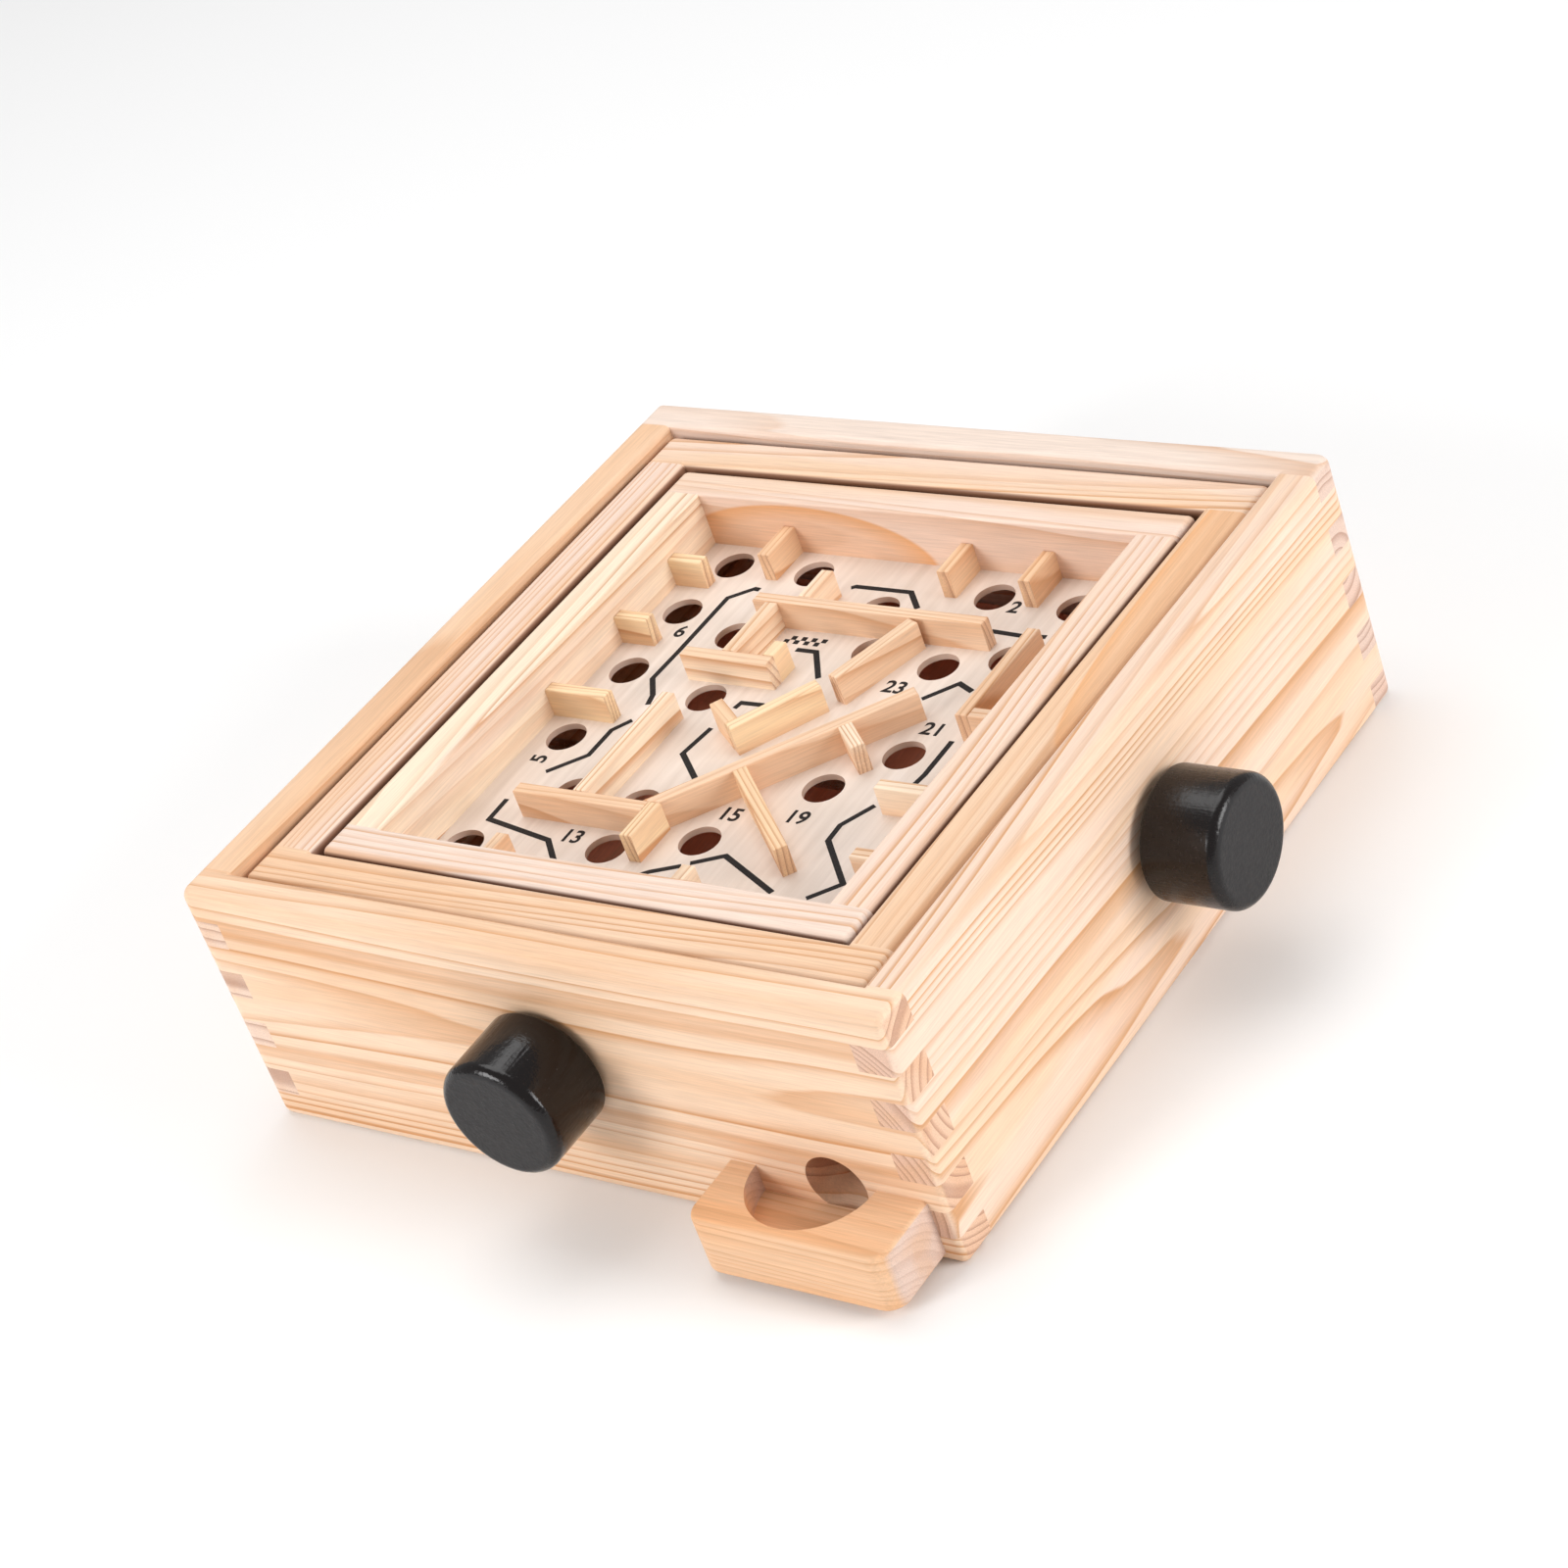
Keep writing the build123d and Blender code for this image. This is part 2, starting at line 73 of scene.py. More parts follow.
away = Vector((math.cos(camera_azimuth) * math.cos(camera_elevation),
               math.sin(camera_azimuth) * math.cos(camera_elevation),
               math.sin(camera_elevation)))
camera = bpy.data.objects.new("camera", bpy.data.cameras.new("camera"))
camera.data.lens = 92.6
camera.data.sensor_width = 36.0
camera.data.clip_start = 0.01
level = (-away).to_track_quat("-Z", "Y").to_matrix()
camera.matrix_world = (Matrix.Translation(look_at + camera_distance * away)
                       @ (level @ Matrix.Rotation(camera_roll, 3, "Z")).to_4x4())
bpy.context.collection.objects.link(camera)
bpy.context.scene.camera = camera
bpy.context.scene.view_settings.view_transform = "Standard"


def softbox(name, place, size, power):
    """A square area light that faces the middle of the object."""
    light = bpy.data.objects.new(name, bpy.data.lights.new(name, "AREA"))
    light.data.size = size
    light.data.energy = power
    light.location = place
    light.rotation_euler = (look_at - Vector(place)).to_track_quat("-Z", "Y").to_euler()
    bpy.context.collection.objects.link(light)


softbox("overhead_softbox", (-0.30, 0.35, 1.30), size=0.9, power=7.2)
softbox("left_softbox", (-0.55, -1.15, 0.65), size=0.6, power=10.0)
softbox("right_softbox", (1.25, 0.30, 0.50), size=0.6, power=9.6)
world_strength = 0.50

world = bpy.data.worlds.new("studio")
world.use_nodes = True
world.node_tree.nodes["Background"].inputs["Color"].default_value = (1.0, 1.0, 1.0, 1.0)
world.node_tree.nodes["Background"].inputs["Strength"].default_value = world_strength
bpy.context.scene.world = world


# ---------------------------------------------------------------- node helpers
class Shader:
    """A material under construction: small helpers that add and join its nodes."""

    def __init__(self, name):
        self.material = bpy.data.materials.new(name)
        self.material.use_nodes = True
        self.tree = self.material.node_tree
        self.surface = self.tree.nodes["Principled BSDF"]

    def add(self, kind, **settings):
        node = self.tree.nodes.new(kind)
        for key, value in settings.items():
            setattr(node, key, value)
        return node

    def join(self, output, socket):
        self.tree.links.new(output, socket)

    def feed(self, value, socket):
        if isinstance(value, bpy.types.NodeSocket):
            self.join(value, socket)
        else:
            socket.default_value = value

    def math(self, operation, a, b=0.0):
        node = self.add("ShaderNodeMath", operation=operation)
        self.feed(a, node.inputs[0])
        self.feed(b, node.inputs[1])
        return node.outputs[0]

    def scale_vector(self, vector, factors):
        node = self.add("ShaderNodeVectorMath", operation="MULTIPLY")
        self.join(vector, node.inputs[0])
        node.inputs[1].default_value = factors
        return node.outputs[0]

    def noise(self, vector, scale, detail=2.0, rough=0.5):
        node = self.add("ShaderNodeTexNoise")
        self.join(vector, node.inputs["Vector"])
        node.inputs["Scale"].default_value = scale
        node.inputs["Detail"].default_value = detail
        node.inputs["Roughness"].default_value = rough
        return node.outputs["Fac"]

    def ramp(self, value, stops):
        node = self.add("ShaderNodeValToRGB")
        self.join(value, node.inputs["Fac"])
        elements = node.color_ramp.elements
        while len(elements) < len(stops):
            elements.new(0.5)
        for element, (place, colour) in zip(elements, stops):
            element.position = place
            element.color = (*colour, 1.0)
        return node.outputs["Color"]

    def level(self, value, low, high, to_low=0.0, to_high=1.0):
        node = self.add("ShaderNodeMapRange")
        self.join(value, node.inputs["Value"])
        node.inputs["From Min"].default_value = low
        node.inputs["From Max"].default_value = high
        node.inputs["To Min"].default_value = to_low
        node.inputs["To Max"].default_value = to_high
        return node.outputs["Result"]

    def mix(self, factor, a, b, blend="MIX"):
        node = self.add("ShaderNodeMix", data_type="RGBA", blend_type=blend)
        self.feed(factor, node.inputs["Factor"])
        for value, socket in ((a, node.inputs["A"]), (b, node.inputs["B"])):
            if isinstance(value, tuple):
                value = (*value, 1.0)
            self.feed(value, socket)
        return node.outputs["Result"]

    def bump(self, height, depth, strength=1.0):
        node = self.add("ShaderNodeBump")
        self.join(height, node.inputs["Height"])
        node.inputs["Distance"].default_value = depth
        node.inputs["Strength"].default_value = strength
        self.join(node.outputs["Normal"], self.surface.inputs["Normal"])


# ---------------------------------------------------------------- wood
pale = (0.88, 0.62, 0.43)
rosy = (0.89, 0.68, 0.56)
cool = (0.85, 0.70, 0.60)
straw = (0.88, 0.60, 0.38)
light = (0.97, 0.79, 0.60)
lemon = (0.96, 0.73, 0.46)
honey = (0.84, 0.53, 0.32)
amber = (0.82, 0.43, 0.20)
late = (0.66, 0.34, 0.16)
end_tint = (0.93, 0.82, 0.78)
end_line = (0.42, 0.20, 0.13)
# Dark brown of the painted shade on sides that face the narrow gaps between frames:
gap_shade_colour = (0.24, 0.10, 0.05)
to_front, to_back = (0.0, -1.0, 0.0), (0.0, 1.0, 0.0)
to_left, to_right = (-1.0, 0.0, 0.0), (1.0, 0.0, 0.0)


def wood(name, angle=0.0, pith=(25.0, 30.0), spacing=2.6, early=pale, line=late, warm=honey,
         waviness=1.2, taper=0.02, contrast=1.0, seed=0.0, rough=0.50, coat=0.06, ends=end_tint,
         end_contrast=0.75, figure=None, painted_shade_sides=()):
    """Softwood as a solid: growth rings about a pith line, so faces and sawn ends agree.

    The grain runs at an angle to X in the level plane. The pith's place is across the grain,
    first sideways and then up, in millimetres like the ring spacing and the waviness. A figure
    is a broad ring cut flat, as a centre and half sizes. Sides that face the narrow gap between
    two frames carry painted shade, and are given by the directions that they face.
    """
    s = Shader(name)
    coords = s.add("ShaderNodeTexCoord")
    place = s.add("ShaderNodeMapping")
    place.inputs["Scale"].default_value = (1 / mm, 1 / mm, 1 / mm)
    place.inputs["Rotation"].default_value = (0.0, 0.0, -angle)
    place.inputs["Location"].default_value = (0.0, -pith[0], -pith[1])
    s.join(coords.outputs["Object"], place.inputs["Vector"])
    spot = place.outputs["Vector"]
    shifted = s.add("ShaderNodeVectorMath", operation="ADD")
    s.join(spot, shifted.inputs[0])
    shifted.inputs[1].default_value = (137.0 * seed, 71.0 * seed, 53.0 * seed)
    seeded = shifted.outputs[0]
    axes = s.add("ShaderNodeSeparateXYZ")
    s.join(spot, axes.inputs[0])
    along, across, up = axes.outputs

    # Distance from the pith, bent by slow waves and by the taper of the trunk.
    radius = s.math("SQRT", s.math("ADD", s.math("MULTIPLY", across, across),
                                   s.math("MULTIPLY", up, up)))
    slow = s.noise(s.scale_vector(seeded, (0.20, 1.0, 1.0)), 0.030, 1.0)
    quick = s.noise(s.scale_vector(seeded, (0.08, 1.0, 1.0)), 0.25, 1.0)
    radius = s.math("ADD", radius, s.math("MULTIPLY", s.math("SUBTRACT", slow, 0.5),
                                          6.0 * waviness))
    radius = s.math("ADD", radius, s.math("MULTIPLY", s.math("SUBTRACT", quick, 0.5),
                                          0.5 * waviness))
    radius = s.math("ADD", radius, s.math("MULTIPLY", along, taper))

    # Years differ in width and strength, but each is alike all round the trunk.
    by_radius = s.add("ShaderNodeCombineXYZ")
    s.join(radius, by_radius.inputs["X"])
    by_radius.inputs["Y"].default_value = 9.0 * seed
    drift = s.noise(by_radius.outputs[0], 0.12, 1.0)
    year = s.math("ADD", s.math("DIVIDE", radius, spacing), s.math("MULTIPLY", drift, 5.0))
    season = s.math("FRACT", year)
    rings = s.ramp(season, ((0.0, (0.0, 0.0, 0.0)), (0.46, (0.05, 0.05, 0.05)),
                            (0.72, (0.55, 0.55, 0.55)), (0.90, (1.0, 1.0, 1.0)),
                            (0.96, (0.0, 0.0, 0.0))))
    strength = s.level(s.noise(by_radius.outputs[0], 0.30, 0.0), 0.36, 0.58, 0.40, 1.0)
    fade = s.level(s.noise(s.scale_vector(seeded, (0.05, 1.0, 1.0)), 0.12, 1.0), 0.3, 0.55,
                   0.65, 1.0)
    lines = s.math("MULTIPLY", s.math("MULTIPLY", rings, strength),
                   s.math("MULTIPLY", fade, contrast))
    patches = s.level(s.noise(s.scale_vector(seeded, (0.10, 1.0, 1.0)), 0.08, 2.0), 0.44, 0.60)
    base = s.mix(s.math("MULTIPLY", patches, 0.65), early, warm)
    if figure:
        centre, half = figure
        swirl = s.add("ShaderNodeMapping")
        swirl.inputs["Scale"].default_value = tuple(1 / mm / h for h in half)
        swirl.inputs["Location"].default_value = tuple(-c / h for c, h in zip(centre, half))
        s.join(coords.outputs["Object"], swirl.inputs["Vector"])
        reach = s.add("ShaderNodeVectorMath", operation="LENGTH")
        s.join(swirl.outputs["Vector"], reach.inputs[0])
        inside = s.level(reach.outputs["Value"], 1.0, 0.96)
        rim = s.math("MULTIPLY", inside, s.level(reach.outputs["Value"], 0.70, 0.97, 0.45, 1.0))
        base = s.mix(rim, base, amber)
        lines = s.math("MULTIPLY", lines, s.level(inside, 0.0, 1.0, 1.0, 0.35))
    colour = s.mix(lines, base, line)

    # Fibres, seen as fine streaks along the grain.
    fibre = s.noise(s.scale_vector(seeded, (0.03, 1.0, 1.0)), 2.2, 3.0, 0.65)
    streak = s.level(fibre, 0.25, 0.75, 0.86, 1.10)
    streak_colour = s.add("ShaderNodeCombineColor")
    for socket in streak_colour.inputs[:3]:
        s.join(streak, socket)
    colour = s.mix(1.0, colour, streak_colour.outputs[0], "MULTIPLY")

    # Sawn ends are pinker than the sides, with stronger rings and fine pores.
    facing = s.add("ShaderNodeVectorMath", operation="DOT_PRODUCT")
    s.join(coords.outputs["Normal"], facing.inputs[0])
    facing.inputs[1].default_value = (math.cos(angle), math.sin(angle), 0.0)
    sawn = s.level(s.math("ABSOLUTE", facing.outputs["Value"]), 0.80, 0.95)
    pores = s.level(s.noise(seeded, 3.0, 2.0), 0.35, 0.65, 0.82, 1.0)
    pore_colour = s.add("ShaderNodeCombineColor")
    for socket in pore_colour.inputs[:3]:
        s.join(pores, socket)
    cut = s.mix(s.math("MULTIPLY", rings, end_contrast),
                s.mix(1.0, base, ends, "MULTIPLY"), end_line)
    cut = s.mix(1.0, cut, pore_colour.outputs[0], "MULTIPLY")
    colour = s.mix(s.math("MULTIPLY", sawn, 0.92), colour, cut)
    # Painted shade: faces turned towards a gap between frames are mixed towards a dark brown,
    # standing in for the shadow in the gap.
    for direction in painted_shade_sides:
        towards = s.add("ShaderNodeVectorMath", operation="DOT_PRODUCT")
        s.join(coords.outputs["Normal"], towards.inputs[0])
        towards.inputs[1].default_value = direction
        colour = s.mix(s.level(towards.outputs["Value"], 0.70, 0.92, 0.0, 0.90), colour, gap_shade_colour)

    s.join(colour, s.surface.inputs["Base Color"])
    s.join(s.level(fibre, 0.2, 0.8, rough - 0.06, rough + 0.12), s.surface.inputs["Roughness"])
    s.surface.inputs["Coat Weight"].default_value = coat
    s.surface.inputs["Coat Roughness"].default_value = 0.35
    relief = s.math("ADD", s.math("MULTIPLY", fibre, 0.6), s.math("MULTIPLY", rings, 0.4))
    s.bump(relief, 0.00012, 0.6)
    return s.material


along_x = 0.0
along_y = math.pi / 2


def paint(node, material):
    """Gives a CAD node its material."""
    target = nodes[node]
    target.data.materials.clear()
    target.data.materials.append(material)


paint("box_front_board", wood("front_board_pine", along_x, (20.0, 40.0), 2.5, seed=1.0,
                              early=(0.92, 0.67, 0.48), line=(0.66, 0.31, 0.12), taper=0.01,
                              waviness=0.8, contrast=1.8))
paint("box_back_board", wood("back_board_pine", along_x, (191.0, 42.0), 3.4, seed=2.0, early=cool,
                             warm=rosy, contrast=0.8))
paint("box_left_board", wood("left_board_pine", along_y, (94.0, -60.0), 3.4, seed=3.0,
                             early=honey, warm=pale, contrast=0.9, waviness=0.7,
                             ends=(1.06, 1.16, 1.40)))
paint("box_right_board", wood("right_board_pine", along_y, (-55.0, 12.0), 1.9, seed=4.0,
                              early=pale, warm=rosy, waviness=0.9, taper=0.02, contrast=1.2))
paint("ball_cup", wood("cup_pine", along_x, (-30.0, -20.0), 2.4, seed=5.0, early=honey,
                       warm=amber, contrast=0.8, ends=(0.92, 1.10, 1.55), end_contrast=0.25))
# Ring and tray sides that face the narrow gaps between frames carry painted shade.
paint("ring_front_rail", wood("ring_front_pine", along_x, (40.0, 40.0), 2.6, seed=6.0,
                              early=pale, contrast=1.2, painted_shade_sides=(to_front, to_back)))
paint("ring_back_rail", wood("ring_back_pine", along_x, (190.0, 76.0), 2.6, seed=7.0,
                             early=pale, warm=rosy, taper=0.04, contrast=1.2,
                             painted_shade_sides=(to_front, to_back)))
paint("ring_left_rail", wood("ring_left_pine", along_y, (120.0, 60.0), 2.4, seed=8.0,
                             early=rosy, painted_shade_sides=(to_left, to_right)))
paint("ring_right_rail", wood("ring_right_pine", along_y, (-60.0, 48.0), 3.2, seed=9.0,
                              early=pale, taper=0.03, painted_shade_sides=(to_left, to_right),
                              figure=((89.0, 165.0, 66.0), (10.5, 80.0, 30.0))))
paint("tray_front_wall", wood("tray_front_pine", along_x, (60.0, 40.0), 2.6, seed=10.0,
                              early=cool, warm=rosy, painted_shade_sides=(to_front,)))
paint("tray_back_wall", wood("tray_back_pine", along_x, (152.0, 56.0), 4.0, seed=11.0,
                             early=rosy, warm=pale, taper=0.03, contrast=0.6,
                             painted_shade_sides=(to_back,),
                             figure=((-35.0, 170.0, 49.0), (40.0, 60.0, 15.8))))
paint("tray_left_wall", wood("tray_left_pine", along_y, (90.0, 40.0), 2.4, seed=12.0,
                             early=light, warm=rosy, painted_shade_sides=(to_left,)))
paint("tray_right_wall", wood("tray_right_pine", along_y, (-50.0, 30.0), 2.2, seed=13.0,
                              early=rosy, warm=pale, painted_shade_sides=(to_right,)))
for batten in ("ramp_batten_left", "ramp_batten_right"):
    paint(batten, wood(batten + "_pine", along_y, (40.0, -10.0), 2.4, seed=14.0))
paint("ramp_panel", wood("ramp_plywood", along_y, (0.0, -90.0), 6.0, seed=15.0, contrast=0.4,
                         early=(0.97, 0.37, 0.22), warm=(0.86, 0.29, 0.15), rough=0.6, coat=0.0))

# Maze sticks are offcuts, so each has its own direction, tone and rings.
sticks = {
    "long_wall": (along_x, pale), "start_wall_down": (along_y, light),
    "start_wall_across": (along_x, light), "start_wall_return": (along_y, lemon),
    "long_wall_branch": (along_y, light), "middle_wall": (along_y, light),
    "corner_wall": (along_x, pale), "corner_wall_end": (along_y, lemon),
    "upper_slant_wall": (math.radians(71.5), light),
    "lower_slant_wall": (math.radians(55.5), lemon),
    "slant_wall_return": (math.radians(145.1), straw),
    "great_slant_wall": (math.radians(49.2), pale),
    "slant_branch_long": (math.radians(-40.8), lemon),
    "slant_branch_short": (math.radians(-40.7), light),
    "right_pocket_wall": (along_y, pale), "right_pocket_end": (along_x, pale),
    "left_stub_walls": (along_x, lemon), "back_stub_walls": (along_y, straw),
    "right_stub_walls": (along_x, light), "front_stub_walls": (along_y, light),
}
for count, (stick, (run, tone)) in enumerate(sticks.items()):
    paint(stick, wood(stick + "_pine", run, (30.0 + 17.0 * count, 44.0 - 6.0 * (count % 3)),
                      1.4 + 0.2 * (count % 4), early=tone, seed=20.0 + count, waviness=0.7,
                      contrast=1.2, rough=0.55, coat=0.0, ends=(0.98, 0.94, 0.90)))


# ---------------------------------------------------------------- tray floor board
def board(name):
    """Thin pale board: faint grain, a fine speckle, and warmer sawn edges in the holes."""
    s = Shader(name)
    coords = s.add("ShaderNodeTexCoord")
    spot = s.scale_vector(coords.outputs["Object"], (1 / mm, 1 / mm, 1 / mm))
    grain = s.noise(s.scale_vector(spot, (1.0, 0.06, 1.0)), 0.5, 3.0)
    cloud = s.noise(spot, 0.03, 2.0)
    speckle = s.noise(spot, 6.0, 2.0)
    colour = s.ramp(grain, ((0.3, (0.75, 0.64, 0.56)), (0.7, (0.88, 0.77, 0.69))))
    colour = s.mix(s.level(cloud, 0.35, 0.7, 0.0, 0.35), colour, (0.88, 0.70, 0.56))
    colour = s.mix(s.level(speckle, 0.62, 0.75, 0.0, 0.25), colour, (0.55, 0.42, 0.34))
    split = s.add("ShaderNodeSeparateXYZ")
    s.join(coords.outputs["Normal"], split.inputs[0])
    side = s.level(s.math("ABSOLUTE", split.outputs["Z"]), 0.9, 0.3)
    colour = s.mix(s.math("MULTIPLY", side, 0.60), colour, (0.70, 0.46, 0.34))
    s.join(colour, s.surface.inputs["Base Color"])
    s.join(s.level(speckle, 0.3, 0.7, 0.42, 0.55), s.surface.inputs["Roughness"])
    s.bump(grain, 0.00005, 0.5)
    return s.material


paint("tray_floor", board("printed_board"))


# ---------------------------------------------------------------- knobs, metal, cord and ink
def knob_paint(name, axis, rough):
    """Black paint on turned wood: glossy round the side, duller on the sawn end, a little dusty."""
    s = Shader(name)
    coords = s.add("ShaderNodeTexCoord")
    spot = s.scale_vector(coords.outputs["Object"], (1 / mm, 1 / mm, 1 / mm))
    facing = s.add("ShaderNodeVectorMath", operation="DOT_PRODUCT")
    s.join(coords.outputs["Normal"], facing.inputs[0])
    facing.inputs[1].default_value = axis
    flat = s.level(s.math("ABSOLUTE", facing.outputs["Value"]), 0.86, 0.995)
    grain = s.noise(s.scale_vector(spot, tuple(1.0 - 0.94 * abs(a) for a in axis)), 1.6, 3.0)
    peel = s.noise(spot, 0.9, 2.0)
    dust = s.level(s.noise(spot, 2.6, 1.0), 0.74, 0.78)
    colour = s.mix(flat, (0.004, 0.002, 0.002), (0.006, 0.005, 0.006))
    colour = s.mix(s.math("MULTIPLY", dust, 0.30), colour, (0.20, 0.18, 0.18))
    s.join(colour, s.surface.inputs["Base Color"])
    gloss = s.math("ADD", s.level(flat, 0.0, 1.0, rough, 0.46),
                   s.level(peel, 0.3, 0.7, -0.03, 0.05))
    s.join(gloss, s.surface.inputs["Roughness"])
    s.surface.inputs["Specular IOR Level"].default_value = 0.32
    s.surface.inputs["Coat Weight"].default_value = 0.08
    s.surface.inputs["Coat Roughness"].default_value = 0.08
    s.bump(s.math("ADD", s.math("MULTIPLY", grain, 0.6), s.math("MULTIPLY", peel, 0.5)),
           0.0002, 0.55)
    return s.material


paint("front_knob", knob_paint("front_knob_paint", (0.0, 1.0, 0.0), 0.15))
paint("side_knob", knob_paint("side_knob_paint", (1.0, 0.0, 0.0), 0.24))


def metal(name, colour, rough):
    """Drawn steel wire or rod: fine scratches and a few duller patches."""
    s = Shader(name)
    coords = s.add("ShaderNodeTexCoord")
    spot = s.scale_vector(coords.outputs["Object"], (1 / mm, 1 / mm, 1 / mm))
    scratch = s.noise(s.scale_vector(spot, (0.2, 1.0, 1.0)), 8.0, 3.0)
    dull = s.noise(spot, 0.4, 2.0)
    s.join(s.mix(s.level(dull, 0.35, 0.7, 0.0, 0.6), colour, tuple(0.6 * c for c in colour)),
           s.surface.inputs["Base Color"])
    s.surface.inputs["Metallic"].default_value = 1.0
    s.join(s.level(scratch, 0.3, 0.7, rough - 0.08, rough + 0.12), s.surface.inputs["Roughness"])
    s.bump(scratch, 0.00003, 0.4)
    return s.material


steel = metal("bright_steel", (0.62, 0.61, 0.59), 0.30)
zinc = metal("zinc_wire", (0.55, 0.55, 0.53), 0.38)
for rod in ("front_axle", "side_axle", "front_axle_collar", "side_axle_collar",
            "ring_pivot_pins", "tray_pivot_pins"):
    paint(rod, steel)
for fitting in ("string_guides", "ring_string_hooks", "tray_string_hooks", "ramp_nails"):
    paint(fitting, zinc)


def cord_material(name):
    """Off-white thread: fuzzy, with a sheen and darker creases between its strands."""
    s = Shader(name)
    coords = s.add("ShaderNodeTexCoord")
    spot = s.scale_vector(coords.outputs["Object"], (1 / mm, 1 / mm, 1 / mm))
    fuzz = s.noise(spot, 7.0, 3.0)
    s.join(s.ramp(fuzz, ((0.3, (0.42, 0.38, 0.31)), (0.7, (0.80, 0.76, 0.68)))),
           s.surface.inputs["Base Color"])
    s.surface.inputs["Roughness"].default_value = 0.85
    s.surface.inputs["Sheen Weight"].default_value = 0.4
    s.bump(fuzz, 0.00015, 0.8)
    return s.material


thread = cord_material("white_thread")


def ink_material(name):
    """Black printing ink, a little thin and uneven over the board's grain."""
    s = Shader(name)
    coords = s.add("ShaderNodeTexCoord")
    spot = s.scale_vector(coords.outputs["Object"], (1 / mm, 1 / mm, 1 / mm))
    cover = s.noise(spot, 2.5, 3.0)
    s.join(s.ramp(cover, ((0.30, (0.030, 0.024, 0.022)), (0.60, (0.008, 0.007, 0.008)))),
           s.surface.inputs["Base Color"])
    s.join(s.level(cover, 0.3, 0.7, 0.75, 0.60), s.surface.inputs["Roughness"])
    s.surface.inputs["Specular IOR Level"].default_value = 0.25
    return s.material


ink = ink_material("black_ink")


# ---------------------------------------------------------------- printing on the tray floor
def mesh_piece(name, builder, material, body):
    """A piece made from a bmesh, finished and riding on a body."""
    data = bpy.data.meshes.new(name)
    builder.to_mesh(data)
    builder.free()
    data.materials.append(material)
    piece = bpy.data.objects.new(name, data)
    bpy.context.collection.objects.link(piece)
    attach(piece, body)
    return piece


floor_low, floor_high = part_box("tray_floor")
floor_top = floor_high[2]
tray_centre = Vector(((floor_low[0] + floor_high[0]) / 2, (floor_low[1] + floor_high[1]) / 2, 0.0))
ink_lift = 0.03 * mm
ink_height = floor_top + ink_lift
path_width = 1.5 * mm
sharpest_mitre = 0.5


def on_floor(x, y, z=ink_height):
    """A point on the tray floor, from millimetres measured at the tray's middle."""
    return Vector((tray_centre.x + x * mm, tray_centre.y + y * mm, z))


def stripe(builder, points, width):
    """A flat line of even width with mitred corners."""
    left, right = [], []
    for i, point in enumerate(points):
        before = (point - points[i - 1]).normalized() if i else None
        after = (points[i + 1] - point).normalized() if i + 1 < len(points) else None
        ahead = after or before
        run = ((before or after) + ahead).normalized()
        side = Vector((-run.y, run.x, 0.0))
        reach = width / 2 / max(sharpest_mitre, side.dot(Vector((-ahead.y, ahead.x, 0.0))))
        left.append(builder.verts.new(point + side * reach))
        right.append(builder.verts.new(point - side * reach))
    for i in range(len(points) - 1):
        builder.faces.new((right[i], right[i + 1], left[i + 1], left[i]))


# The route from the start to the finish is printed in stretches that stop at holes and walls.
route_stretches = [
    [(-39.5, 51.5), (-41.2, 51.7), (-46.5, 47.0), (-46.5, 24.5), (-46.8, 13.5), (-42.5, 7.5),
     (-41.5, 3.8)],
    [(-41.8, -2.5), (-45.0, -7.0), (-45.0, -16.8), (-52.5, -24.7)],
    [(-56.2, -36.0), (-56.0, -43.7), (-35.0, -47.5), (-30.2, -52.3), (-28.0, -54.5),
     (-4.0, -54.5), (-1.5, -52.5), (5.3, -49.0)],
    [(7.0, -47.7), (14.3, -43.5), (33.5, -52.7)],
    [(43.0, -52.8), (49.0, -46.5), (36.5, -33.5), (36.3, -28.0), (40.8, -20.0)],
    [(46.2, -11.0), (46.7, -7.5), (46.6, 5.0)],
    [(41.2, 23.0), (36.3, 25.3), (30.0, 18.2)],
    [(33.0, 45.5), (41.5, 45.0), (48.5, 45.5)],
    [(-14.5, 56.0), (-13.5, 56.7), (3.0, 56.7), (8.5, 50.8)],
    [(-14.5, 30.5), (-8.5, 30.5), (-1.7, 21.0)],
    [(-10.0, 9.0), (-16.5, 8.8), (-17.0, 6.5)],
    [(-18.5, -1.5), (-20.0, -11.7), (-11.0, -19.5)],
]
route = bmesh.new()
for stretch in route_stretches:
    stripe(route, [on_floor(x, y) for x, y in stretch], path_width)
mesh_piece("printed_route", route, ink, "tray")

hole_numbers = {
    "6": (-51.0, 32.0, 0.0), "23": (20.5, 21.0, 0.0), "2": (34.0, 55.0, 0.0),
    "21": (39.5, 8.0, 0.0), "13": (-29.5, -45.2, 0.0), "15": (6.5, -30.0, 0.0),
    "19": (24.0, -27.7, 0.0), "5": (-57.5, -20.5, math.pi / 2),
}
number_size = 6.2 * mm
number_offset = 0.15 * mm
for number, (x, y, turn) in hole_numbers.items():
    text = bpy.data.curves.new("number_" + number, "FONT")
    text.body = number
    text.size = number_size
    text.align_x = "CENTER"
    text.align_y = "CENTER"
    text.offset = number_offset
    text.materials.append(ink)
    label = bpy.data.objects.new("number_" + number, text)
    label.location = on_floor(x, y)
    label.rotation_euler.z = turn
    bpy.context.collection.objects.link(label)
    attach(label, "tray")

# A small chequered strip marks the finish.
flag = bmesh.new()
cell = 1.5 * mm
flag_columns, flag_rows = 8, 2
for column in range(flag_columns):
    for row in range(flag_rows):
        if (column + row) % 2:
            continue
        corner = on_floor(-20.0, 32.5) + Vector((column * cell, row * cell, 0.0))
        square = [corner + Vector((dx * cell, dy * cell, 0.0))
                  for dx, dy in ((0, 0), (1, 0), (1, 1), (0, 1))]
        flag.faces.new([flag.verts.new(p) for p in square])
mesh_piece("finish_mark", flag, ink, "tray")


